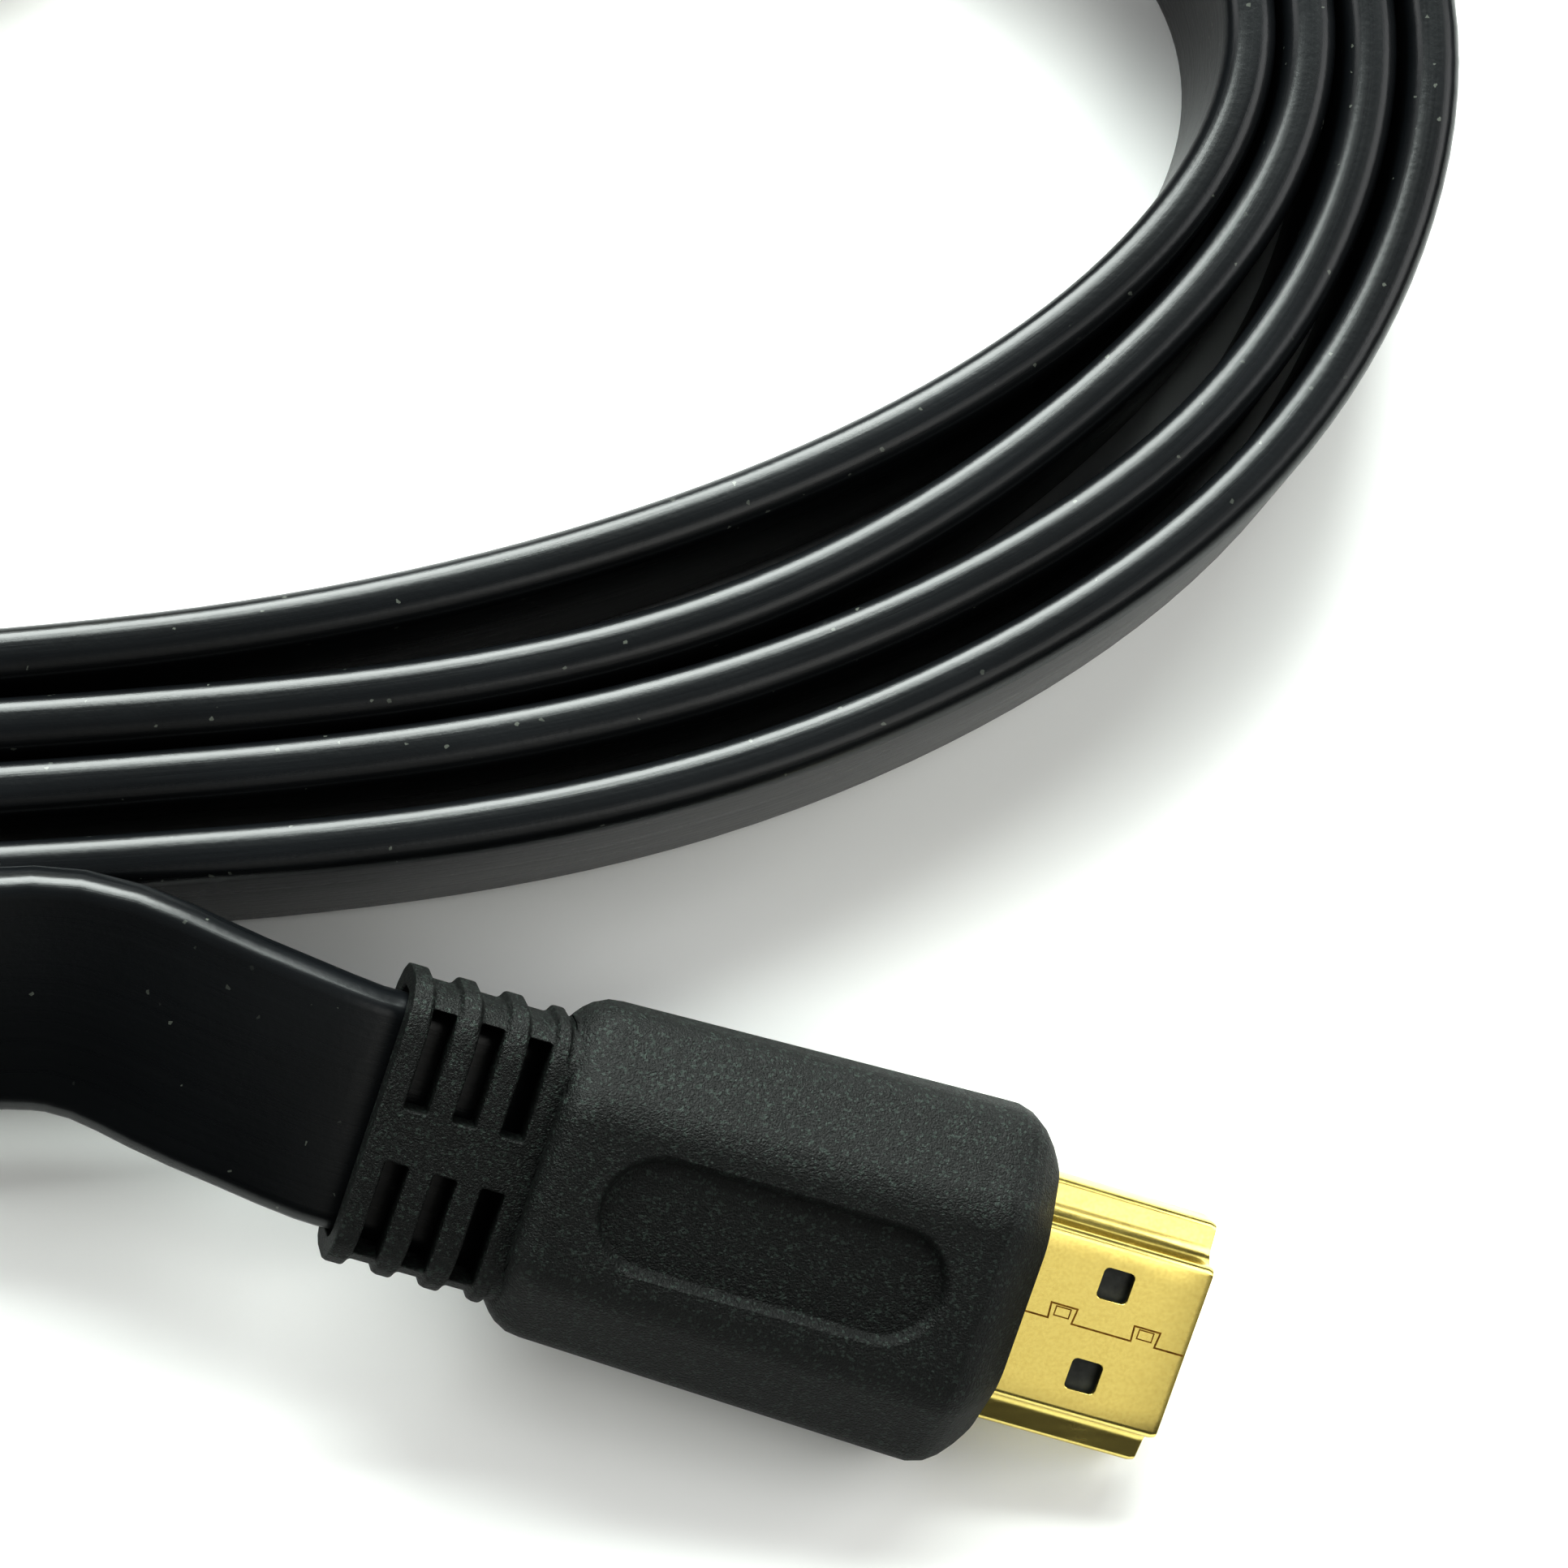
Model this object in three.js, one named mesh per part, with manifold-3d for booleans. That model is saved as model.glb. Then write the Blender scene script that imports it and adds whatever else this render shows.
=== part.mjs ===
// Flat ribbon video cable with two moulded plugs, wound in an oval coil and laid on a table.
// Millimetres, +Z up, floor at z = 0. The origin is under the middle of the two plugs.

import * as THREE from 'three';
import { mergeVertices } from 'three/addons/utils/BufferGeometryUtils.js';
import Module from 'manifold-3d';

const wasm = await Module();
wasm.setup();

// Ribbon: a flat flexible cable with rounded edges
const RIBBON_WIDTH = 13.0;
const RIBBON_THICKNESS = 3.0;
const RIBBON_CORNER = 1.1;

// Coil: the ribbon stands on edge and runs inwards, clockwise seen from above
const COIL_CENTRE_X = -39.6;
const COIL_CENTRE_Y = 33.5;
const COIL_TURNED = 0.159;
const OVAL_REACH_RIGHT = 64.9;
const OVAL_REACH_LEFT = 84.0;
const OVAL_HALF_WIDTH = 29.8;
const COIL_START = 230;
const COIL_SWEEP = 1420;
const COIL_STEPS_PER_TURN = 44;
const WEB_HEIGHT = 9.0;

// Spacing from one turn to the next: tight at the front right, slack at the back
const PITCH_TIGHT = 3.42;
const PITCH_SLACK = 1.6;
const SLACK_FACES = 130;
const RAMP_SHARE = 0.57;
// Places where a turn stands off the next one: extra spacing, direction and spread
const BULGES = [
  { extra: 2.1, towards: -64, spread: 23 },
  { extra: 1.65, towards: -37, spread: 19 },
  { extra: 1.1, towards: -70, spread: 47 },
];

// Plug body, moulded in one piece with its strain relief grid
const BODY_LENGTH = 27.5;
const BODY_WIDTH_FRONT = 20.3;
const BODY_WIDTH_BACK = 18.2;
const BODY_HEIGHT = 11.0;
const BODY_FLAT_WIDTH = 10.8;
const BODY_SIDE_HEIGHT = 3.4;
const BODY_CHAMFER = 2.0;
const RECESS_LENGTH = 19.2;
const RECESS_WIDTH = 6.5;
const RECESS_DEPTH = 0.5;
const RECESS_FROM_FRONT = 14.6;

// Strain relief grid behind the body
const GRID_LENGTH = 8.8;
const GRID_WIDTH = 14.9;
const GRID_HEIGHT = 7.4;
const GRID_CORNER = 1.8;
const GRID_RIB = 1.1;
const GRID_SLOT = 1.5;
const GRID_SLOT_COUNT = 3;
const GRID_SPINE = 2.9;
const GRID_SLOT_REACH = 5.4;
const GRID_RIB_PROUD = 0.45;
const GRID_OVERLAP = 2.0;
const CLEARANCE = 0.3;

// Metal shell, narrow face up
const SHELL_WIDTH = 13.9;
const SHELL_HEIGHT = 4.45;
const SHELL_WALL = 0.32;
const SHELL_CORNER = 0.45;
const SHELL_NARROW_WIDTH = 9.9;
const SHELL_SIDE_HEIGHT = 2.25;
const SHELL_LEDGE_RISE = 0.45;
const SHELL_LEDGE_WIDTH = 1.35;
const SHELL_PROUD = 9.6;
const SHELL_BURIED = 4.0;
const WINDOW_SIDE = 1.75;
const WINDOW_OFFSET = 2.6;
const WINDOW_FROM_TIP = 5.0;

// Insulator inside the shell, and its two rows of contacts
const INSULATOR_SETBACK = 1.3;
const TONGUE_SLOT_WIDTH = 11.6;
const TONGUE_SLOT_HEIGHT = 1.5;
const TONGUE_SLOT_DEPTH = 7.4;
const CONTACT_PITCH = 1.0;
const CONTACT_WIDTH = 0.42;
const CONTACT_HEIGHT = 0.22;
const CONTACT_LENGTH = 6.4;
const CONTACTS_LOWER_ROW = 10;
const CONTACTS_UPPER_ROW = 9;
const CONTACT_GAP = 0.02;

// Near plug: place of its tip in plan, direction, dip of the tip and roll
const NEAR_TIP = [20.6, -31.42];
const NEAR_HEADING = -0.239;
const NEAR_DIP = -0.15;
const NEAR_ROLL = 0.385;
// Far plug: stands on its side inside the coil, in line with the ribbon
const FAR_TIP = [-40.0, 57.3];
const FAR_HEADING = 0.248;
const FAR_DIP = 0.05;
const FAR_ROLL = Math.PI / 2;

// Route of the ribbon from the near plug to the coil: x, y, z, and how many degrees its upper
// edge leans over towards the coil
const NEAR_ROUTE = [
  [-31.2, -17.9, 12.5, 65],
  [-39.1, -14.9, 12.5, 61],
  [-52.0, -15.8, 11.0, 47],
  [-64.0, -15.4, 8.7, 28],
  [-76.0, -13.5, 7.1, 8],
];
// Route from the coil's inner end to the far plug
const FAR_ROUTE = [
  [-78.0, 1.2, 6.5, 0],
  [-92.0, 3.8, 6.6, 0],
  [-103.5, 10.8, 6.8, 0],
  [-109.0, 21.5, 7.0, 0],
  [-107.0, 33.0, 7.2, 0],
  [-99.0, 41.0, 7.5, 0],
];
const ROUTE_STEP = 3.0;

const COLOURS = {
  ribbon: new THREE.MeshStandardMaterial({ color: 0x15171a, roughness: 0.45, metalness: 0 }),
  body: new THREE.MeshStandardMaterial({ color: 0x1b1c1e, roughness: 0.7, metalness: 0 }),
  shell: new THREE.MeshStandardMaterial({ color: 0xcdb35c, roughness: 0.3, metalness: 1 }),
  insulator: new THREE.MeshStandardMaterial({ color: 0x2a2c2c, roughness: 0.6, metalness: 0 }),
  contact: new THREE.MeshStandardMaterial({ color: 0xd9b84a, roughness: 0.25, metalness: 1 }),
};

const UP = new THREE.Vector3(0, 0, 1);
const DEGREE = Math.PI / 180;

// Solids and booleans

function toSolid(geometry) {
  const bare = geometry.clone();
  bare.deleteAttribute('normal');
  bare.deleteAttribute('uv');
  const merged = mergeVertices(bare, 1e-4);
  return new wasm.Manifold(new wasm.Mesh({
    numProp: 3,
    vertProperties: Float32Array.from(merged.attributes.position.array),
    triVerts: Uint32Array.from(merged.index.array),
  }));
}

function toGeometry(solid) {
  const mesh = solid.getMesh();
  const geometry = new THREE.BufferGeometry();
  geometry.setAttribute('position', new THREE.BufferAttribute(Float32Array.from(mesh.vertProperties), 3));
  geometry.setIndex(new THREE.BufferAttribute(Uint32Array.from(mesh.triVerts), 1));
  const faceted = geometry.toNonIndexed();
  faceted.computeVertexNormals();
  return faceted;
}

function boxAt(length, width, height, x, y, z) {
  const box = new THREE.BoxGeometry(length, width, height);
  box.translate(x, y, z);
  return toSolid(box);
}

// Extrudes an outline in the y-z plane along +X, from x = from to x = to
function prismAlongX(shape, from, to, segments = 3) {
  const prism = new THREE.ExtrudeGeometry(shape, {
    depth: to - from, bevelEnabled: false, curveSegments: segments,
  });
  const turn = new THREE.Matrix4().makeBasis(
    new THREE.Vector3(0, 1, 0), new THREE.Vector3(0, 0, 1), new THREE.Vector3(1, 0, 0));
  prism.applyMatrix4(turn);
  prism.translate(from, 0, 0);
  return prism;
}

function roundedRectangle(width, height, radius) {
  const shape = new THREE.Shape();
  const x = width / 2;
  const y = height / 2;
  shape.moveTo(x, -y + radius);
  shape.lineTo(x, y - radius);
  shape.absarc(x - radius, y - radius, radius, 0, Math.PI / 2, false);
  shape.lineTo(-x + radius, y);
  shape.absarc(-x + radius, y - radius, radius, Math.PI / 2, Math.PI, false);
  shape.lineTo(-x, -y + radius);
  shape.absarc(-x + radius, -y + radius, radius, Math.PI, Math.PI * 1.5, false);
  shape.lineTo(x - radius, -y);
  shape.absarc(x - radius, -y + radius, radius, Math.PI * 1.5, Math.PI * 2, false);
  return shape;
}

// Coil: the centreline of the ribbon, worked out turn by turn

function smooth(t) {
  const c = Math.min(1, Math.max(0, t));
  return c * c * (3 - 2 * c);
}

function ovalPoint(angle, offset) {
  const c = Math.cos(angle);
  const s = Math.sin(angle);
  const reach = c > 0 ? OVAL_REACH_RIGHT : OVAL_REACH_LEFT;
  const outwards = new THREE.Vector2(OVAL_HALF_WIDTH * c, reach * s).normalize();
  const turned = new THREE.Vector2(reach * c, OVAL_HALF_WIDTH * s).addScaledVector(outwards, offset);
  turned.rotateAround(new THREE.Vector2(), COIL_TURNED);
  return turned.add(new THREE.Vector2(COIL_CENTRE_X, COIL_CENTRE_Y));
}

function pitchAt(turn, angle) {
  const facing = Math.cos(angle - SLACK_FACES * DEGREE);
  let pitch = PITCH_TIGHT + PITCH_SLACK * smooth((facing + 0.2) / 0.6);
  const bulge = BULGES[turn];
  if (bulge) {
    const from = angle - bulge.towards * DEGREE;
    const away = Math.atan2(Math.sin(from), Math.cos(from));
    pitch += bulge.extra * Math.exp(-((away / (bulge.spread * DEGREE)) ** 2));
  }
  return pitch;
}

function offsetOfTurn(turn, angle) {
  let offset = 0;
  for (let inner = 0; inner < turn; inner += 1) {
    offset += pitchAt(inner, angle);
  }
  return offset;
}

function coilPoint(swept) {
  const angle = (COIL_START - swept) * DEGREE;
  const turn = 3 - Math.floor(swept / 360);
  const share = (swept % 360) / 360;
  const inner = offsetOfTurn(turn, angle);
  const outer = offsetOfTurn(turn + 1, angle);
  const offset = inner + (outer - inner) * (1 - smooth(share / RAMP_SHARE));
  const p = ovalPoint(angle, offset);
  return new THREE.Vector3(p.x, p.y, RIBBON_WIDTH / 2);
}

function coilPoints(from, to) {
  const count = Math.round((to - from) / 360 * COIL_STEPS_PER_TURN);
  const points = [];
  for (let i = 0; i <= count; i += 1) {
    points.push(coilPoint(from + (to - from) * i / count));
  }
  return points;
}

// Ribbon: a swept section whose lean from upright is set point by point

class RibbonPath extends THREE.CatmullRomCurve3 {
  constructor(points, leans) {
    super(points, false, 'centripetal');
    this.leans = leans;
  }

  leanAt(u) {
    const t = this.getUtoTmapping(u);
    const place = t * (this.leans.length - 1);
    const i = Math.min(this.leans.length - 2, Math.floor(place));
    return this.leans[i] + (this.leans[i + 1] - this.leans[i]) * smooth(place - i);
  }

  computeFrenetFrames(segments) {
    const frames = { tangents: [], normals: [], binormals: [] };
    for (let i = 0; i <= segments; i += 1) {
      const tangent = this.getTangentAt(i / segments);
      const upright = UP.clone().addScaledVector(tangent, -UP.dot(tangent)).normalize();
      const side = new THREE.Vector3().crossVectors(tangent, upright).normalize();
      const lean = this.leanAt(i / segments);
      const across = upright.multiplyScalar(Math.cos(lean)).addScaledVector(side, Math.sin(lean));
      frames.tangents.push(tangent);
      frames.binormals.push(across);
      frames.normals.push(new THREE.Vector3().crossVectors(across, tangent).normalize());
    }
    return frames;
  }
}

function sweep(points, leans, thickness, width, corner, steps) {
  const path = new RibbonPath(points, leans);
  return new THREE.ExtrudeGeometry(roundedRectangle(thickness, width, corner), {
    steps, extrudePath: path, bevelEnabled: false, curveSegments: 2,
  });
}

function coilGeometry() {
  const points = coilPoints(0, COIL_SWEEP);
  const upright = points.map(() => 0);
  const turns = toSolid(sweep(points, upright, RIBBON_THICKNESS, RIBBON_WIDTH, RIBBON_CORNER,
    points.length - 1));
  const between = coilPoints(0, COIL_SWEEP - 360).map((point, i) => {
    const swept = (COIL_SWEEP - 360) * i / Math.round((COIL_SWEEP - 360) / 360 * COIL_STEPS_PER_TURN);
    return point.add(coilPoint(swept + 360)).multiplyScalar(0.5);
  });
  const web = toSolid(sweep(between, between.map(() => 0), RIBBON_THICKNESS, WEB_HEIGHT, RIBBON_CORNER / 4,
    between.length - 1));
  return toGeometry(turns.add(web));
}

// Lead: the free ribbon from the coil's end into a plug's strain relief
function leadGeometry(route, plug, coilEnd, coilNext, roll) {
  const mouth = plug.localToWorld(new THREE.Vector3(plugBack(), 0, 0));
  const forward = new THREE.Vector3(1, 0, 0).transformDirection(plug.matrixWorld);
  const seated = mouth.clone().addScaledVector(forward, GRID_LENGTH - CLEARANCE);
  const before = mouth.clone().addScaledVector(forward, -3);
  const away = coilEnd.clone().sub(coilNext).normalize();
  const start = coilEnd.clone().addScaledVector(away, CLEARANCE);
  const points = [start, start.clone().addScaledVector(away, 3)];
  const leans = [0, 0];
  for (const [x, y, z, lean] of route) {
    points.push(new THREE.Vector3(x, y, z));
    leans.push(-lean * DEGREE);
  }
  points.push(before, mouth, seated);
  leans.push(roll, roll, roll);
  const steps = Math.round(new THREE.CatmullRomCurve3(points).getLength() / ROUTE_STEP);
  return sweep(points, leans, RIBBON_THICKNESS, RIBBON_WIDTH, RIBBON_CORNER, steps);
}

// Plug pieces. In a plug's own frame +X points out of the tip, +Z is the narrow face's side,
// and x = 0 is the tip of the shell.

function plugBack() {
  return -(SHELL_PROUD + BODY_LENGTH + GRID_LENGTH);
}

function bodySection() {
  const shape = new THREE.Shape();
  const side = BODY_WIDTH_FRONT / 2 - BODY_CHAMFER;
  const flat = BODY_FLAT_WIDTH / 2 - BODY_CHAMFER / 2;
  const top = BODY_HEIGHT / 2 - BODY_CHAMFER;
  const low = BODY_SIDE_HEIGHT / 2;
  shape.moveTo(side, -low);
  shape.lineTo(side, low);
  shape.lineTo(flat, top);
  shape.lineTo(-flat, top);
  shape.lineTo(-side, low);
  shape.lineTo(-side, -low);
  shape.lineTo(-flat, -top);
  shape.lineTo(flat, -top);
  shape.closePath();
  return shape;
}

function taperedBlock() {
  const block = new THREE.ExtrudeGeometry(bodySection(), {
    depth: BODY_LENGTH - 2 * BODY_CHAMFER,
    bevelEnabled: true,
    bevelSize: BODY_CHAMFER,
    bevelThickness: BODY_CHAMFER,
    bevelSegments: 3,
    curveSegments: 2,
  });
  const turn = new THREE.Matrix4().makeBasis(
    new THREE.Vector3(0, 1, 0), new THREE.Vector3(0, 0, 1), new THREE.Vector3(1, 0, 0));
  block.applyMatrix4(turn);
  block.translate(-SHELL_PROUD - BODY_LENGTH + BODY_CHAMFER, 0, 0);
  const positions = block.attributes.position;
  for (let i = 0; i < positions.count; i += 1) {
    const share = (-SHELL_PROUD - positions.getX(i)) / BODY_LENGTH;
    const width = BODY_WIDTH_FRONT + (BODY_WIDTH_BACK - BODY_WIDTH_FRONT) * share;
    positions.setY(i, positions.getY(i) * width / BODY_WIDTH_FRONT);
  }
  return toSolid(block);
}

function gridBlock() {
  const outline = roundedRectangle(GRID_WIDTH + 2 * GRID_RIB_PROUD, GRID_HEIGHT, GRID_CORNER);
  return toSolid(prismAlongX(outline, plugBack(), plugBack() + GRID_LENGTH + GRID_OVERLAP));
}

function cutGridSlots(solid) {
  let cut = solid;
  for (let i = 0; i < GRID_SLOT_COUNT; i += 1) {
    const x = plugBack() + GRID_RIB + GRID_SLOT / 2 + i * (GRID_RIB + GRID_SLOT);
    for (const side of [-1, 1]) {
      const y = side * (GRID_SPINE / 2 + GRID_SLOT_REACH / 2);
      cut = cut.subtract(boxAt(GRID_SLOT, GRID_SLOT_REACH, GRID_HEIGHT + 2, x, y, 0));
      const rim = side * (GRID_WIDTH / 2 + GRID_RIB_PROUD);
      cut = cut.subtract(boxAt(GRID_SLOT, 2 * GRID_RIB_PROUD, GRID_HEIGHT + 2, x, rim, 0));
    }
  }
  return cut;
}

function recessTool() {
  const outline = new THREE.Shape();
  const radius = RECESS_WIDTH / 2;
  const reach = RECESS_LENGTH / 2 - radius;
  outline.absarc(reach, 0, radius, -Math.PI / 2, Math.PI / 2, false);
  outline.absarc(-reach, 0, radius, Math.PI / 2, Math.PI * 1.5, false);
  const tool = new THREE.ExtrudeGeometry(outline, { depth: 3, bevelEnabled: false, curveSegments: 10 });
  tool.translate(-SHELL_PROUD - RECESS_FROM_FRONT, 0, BODY_HEIGHT / 2 - RECESS_DEPTH);
  return toSolid(tool);
}

function bodyGeometry() {
  let solid = cutGridSlots(gridBlock());
  solid = solid.add(taperedBlock()).subtract(recessTool());
  const pocket = roundedRectangle(RIBBON_WIDTH + 2 * CLEARANCE, RIBBON_THICKNESS + 2 * CLEARANCE,
    RIBBON_CORNER + CLEARANCE);
  solid = solid.subtract(toSolid(prismAlongX(pocket, plugBack() - 1, plugBack() + GRID_LENGTH)));
  const socket = shellOutline(-CLEARANCE);
  const depth = SHELL_BURIED + CLEARANCE;
  solid = solid.subtract(toSolid(prismAlongX(socket, -SHELL_PROUD - depth, 1)));
  return toGeometry(solid);
}

// Outline of the shell, pulled in by the given inset; the narrow face is up
function shellOutline(inset) {
  const shape = new THREE.Shape();
  const bottom = -SHELL_HEIGHT / 2 + inset;
  const top = SHELL_HEIGHT / 2 - inset;
  const wide = SHELL_WIDTH / 2 - inset;
  const narrow = SHELL_NARROW_WIDTH / 2 - inset;
  const shoulder = -SHELL_HEIGHT / 2 + SHELL_SIDE_HEIGHT - inset * 0.4;
  const ledge = shoulder + SHELL_LEDGE_RISE;
  const foot = wide - SHELL_LEDGE_WIDTH;
  const r = SHELL_CORNER;
  shape.moveTo(wide - r, bottom);
  shape.quadraticCurveTo(wide, bottom, wide, bottom + r);
  shape.lineTo(wide, shoulder - r / 2);
  shape.quadraticCurveTo(wide, shoulder, wide - r / 2, shoulder + r / 8);
  shape.lineTo(foot, ledge);
  shape.quadraticCurveTo(narrow, ledge, narrow, top - r);
  shape.quadraticCurveTo(narrow, top, narrow - r, top);
  shape.lineTo(-narrow + r, top);
  shape.quadraticCurveTo(-narrow, top, -narrow, top - r);
  shape.quadraticCurveTo(-narrow, ledge, -foot, ledge);
  shape.lineTo(-wide + r / 2, shoulder + r / 8);
  shape.quadraticCurveTo(-wide, shoulder, -wide, shoulder - r / 2);
  shape.lineTo(-wide, bottom + r);
  shape.quadraticCurveTo(-wide, bottom, -wide + r, bottom);
  shape.closePath();
  return shape;
}

function shellGeometry() {
  let solid = toSolid(prismAlongX(shellOutline(0), -SHELL_PROUD - SHELL_BURIED, 0));
  const hollow = prismAlongX(shellOutline(SHELL_WALL), -SHELL_PROUD - SHELL_BURIED - 1, 1);
  solid = solid.subtract(toSolid(hollow));
  for (const side of [-1, 1]) {
    const window = boxAt(WINDOW_SIDE, WINDOW_SIDE, SHELL_HEIGHT * 2,
      -WINDOW_FROM_TIP, side * WINDOW_OFFSET, 0);
    solid = solid.subtract(window);
  }
  return toGeometry(solid);
}

function insulatorGeometry() {
  const from = -SHELL_PROUD - SHELL_BURIED;
  let solid = toSolid(prismAlongX(shellOutline(SHELL_WALL + CLEARANCE), from, -INSULATOR_SETBACK));
  const slot = boxAt(TONGUE_SLOT_DEPTH * 2, TONGUE_SLOT_WIDTH, TONGUE_SLOT_HEIGHT,
    -INSULATOR_SETBACK, 0, slotHeight());
  solid = solid.subtract(slot);
  return toGeometry(solid);
}

function slotHeight() {
  return -SHELL_HEIGHT / 2 + SHELL_SIDE_HEIGHT / 2 + 0.55;
}

function contactGeometry() {
  return new THREE.BoxGeometry(CONTACT_LENGTH, CONTACT_WIDTH, CONTACT_HEIGHT);
}

function addContacts(plug, prefix) {
  const rows = [
    { name: 'lower', count: CONTACTS_LOWER_ROW, side: -1 },
    { name: 'upper', count: CONTACTS_UPPER_ROW, side: 1 },
  ];
  for (const row of rows) {
    for (let i = 0; i < row.count; i += 1) {
      const contact = new THREE.Mesh(contactGeometry(), COLOURS.contact);
      contact.name = `${prefix}_contact_${row.name}_${i + 1}`;
      const reach = TONGUE_SLOT_HEIGHT / 2 - CONTACT_HEIGHT / 2 - CONTACT_GAP;
      contact.position.set(
        -INSULATOR_SETBACK - TONGUE_SLOT_DEPTH + CONTACT_LENGTH / 2 + CLEARANCE,
        (i - (row.count - 1) / 2) * CONTACT_PITCH,
        slotHeight() + row.side * reach);
      plug.add(contact);
    }
  }
}

function named(name, geometry, material) {
  const mesh = new THREE.Mesh(geometry, material);
  mesh.name = name;
  return mesh;
}

function makePlug(prefix) {
  const plug = new THREE.Group();
  plug.add(named(`${prefix}_body`, bodyGeometry(), COLOURS.body));
  plug.add(named(`${prefix}_shell`, shellGeometry(), COLOURS.shell));
  plug.add(named(`${prefix}_insulator`, insulatorGeometry(), COLOURS.insulator));
  addContacts(plug, prefix);
  return plug;
}

// Lays a plug with its tip over the given place and lowers it until it meets the floor
function layPlug(plug, tip, heading, dip, roll) {
  const forward = new THREE.Vector3(
    Math.cos(heading) * Math.cos(dip), Math.sin(heading) * Math.cos(dip), Math.sin(dip));
  const left = new THREE.Vector3().crossVectors(UP, forward).normalize();
  const above = new THREE.Vector3().crossVectors(forward, left);
  const across = left.clone().multiplyScalar(Math.cos(roll)).addScaledVector(above, Math.sin(roll));
  const normal = new THREE.Vector3().crossVectors(forward, across);
  plug.quaternion.setFromRotationMatrix(new THREE.Matrix4().makeBasis(forward, across, normal));
  plug.position.set(tip[0], tip[1], 0);
  plug.updateMatrixWorld(true);
  plug.position.z = -new THREE.Box3().setFromObject(plug, true).min.z;
  plug.updateMatrixWorld(true);
}

const nearPlug = makePlug('near');
layPlug(nearPlug, NEAR_TIP, NEAR_HEADING, NEAR_DIP, NEAR_ROLL);
const farPlug = makePlug('far');
layPlug(farPlug, FAR_TIP, FAR_HEADING, FAR_DIP, FAR_ROLL);

const coilStart = coilPoint(0);
const coilEnd = coilPoint(COIL_SWEEP);
const coil = named('ribbon_coil', coilGeometry(), COLOURS.ribbon);
const nearLead = named('ribbon_near_lead',
  leadGeometry([...NEAR_ROUTE].reverse(), nearPlug, coilStart, coilPoint(4), NEAR_ROLL - Math.PI / 2),
  COLOURS.ribbon);
const farLead = named('ribbon_far_lead',
  leadGeometry(FAR_ROUTE, farPlug, coilEnd, coilPoint(COIL_SWEEP - 4), 0), COLOURS.ribbon);

const cable = new THREE.Group();
cable.add(nearPlug, farPlug, coil, nearLead, farLead);
cable.updateMatrixWorld(true);
const plugsBox = new THREE.Box3().setFromObject(nearPlug, true);
plugsBox.union(new THREE.Box3().setFromObject(farPlug, true));
const middle = plugsBox.getCenter(new THREE.Vector3());
cable.position.set(-middle.x, -middle.y, 0);
cable.updateMatrixWorld(true);

export default cable;
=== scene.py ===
"""Flat ribbon video cable, wound on edge in an oval coil, with a moulded plug at each end."""

import math

import bmesh
import bpy
from bpy.props import FloatProperty, FloatVectorProperty, IntProperty, PointerProperty
from mathutils import Matrix, Vector


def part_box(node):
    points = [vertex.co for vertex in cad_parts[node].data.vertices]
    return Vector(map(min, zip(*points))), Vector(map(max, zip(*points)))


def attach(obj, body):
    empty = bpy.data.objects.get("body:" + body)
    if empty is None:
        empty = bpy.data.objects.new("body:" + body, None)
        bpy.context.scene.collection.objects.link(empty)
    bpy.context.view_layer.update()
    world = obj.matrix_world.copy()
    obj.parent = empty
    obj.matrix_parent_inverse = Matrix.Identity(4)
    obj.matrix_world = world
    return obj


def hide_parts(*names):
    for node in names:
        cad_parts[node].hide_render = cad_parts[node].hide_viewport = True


bl_info = {
    "name": "Flat Video Cable",
    "version": (1, 0, 0),
    "blender": (4, 5, 0),
    "location": "View3D > Sidebar > Cable",
    "description": "Builds a coiled flat ribbon cable with two moulded plugs",
    "category": "Add Mesh",
}

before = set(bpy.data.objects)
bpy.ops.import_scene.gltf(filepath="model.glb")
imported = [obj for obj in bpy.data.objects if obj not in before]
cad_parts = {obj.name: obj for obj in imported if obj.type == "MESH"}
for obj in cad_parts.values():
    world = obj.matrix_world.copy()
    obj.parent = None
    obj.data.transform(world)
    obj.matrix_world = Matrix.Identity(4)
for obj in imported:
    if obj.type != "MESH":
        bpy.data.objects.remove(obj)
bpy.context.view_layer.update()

MM = 0.001
UP = Vector((0, 0, 1))
BODY = "root"


def linear(code):
    """Turns an sRGB hex colour into the linear colour that the shaders take."""
    parts = [int(code[i:i + 2], 16) / 255 for i in (1, 3, 5)]
    return tuple(p / 12.92 if p <= 0.04045 else ((p + 0.055) / 1.055) ** 2.4 for p in parts) + (1.0,)


# Settings


def length(name, description, default):
    """A size in metres, given here in millimetres."""
    return FloatProperty(name=name, description=description, default=default * MM, unit="LENGTH", precision=5)


def colour(name, description, code):
    return FloatVectorProperty(
        name=name, description=description, subtype="COLOR", size=4, min=0, max=1, default=linear(code))


class RibbonSettings(bpy.types.PropertyGroup):
    width: length("Width", "Width of the flat ribbon", 13.0)
    thickness: length("Thickness", "Thickness of the flat ribbon", 3.0)
    corner: length("Corner", "Radius of the ribbon's rounded edges", 1.15)
    step: length("Step", "Distance between two sections along the ribbon", 2.0)
    colour: colour("Vinyl", "Colour of the extruded vinyl", "#0e1012")


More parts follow.
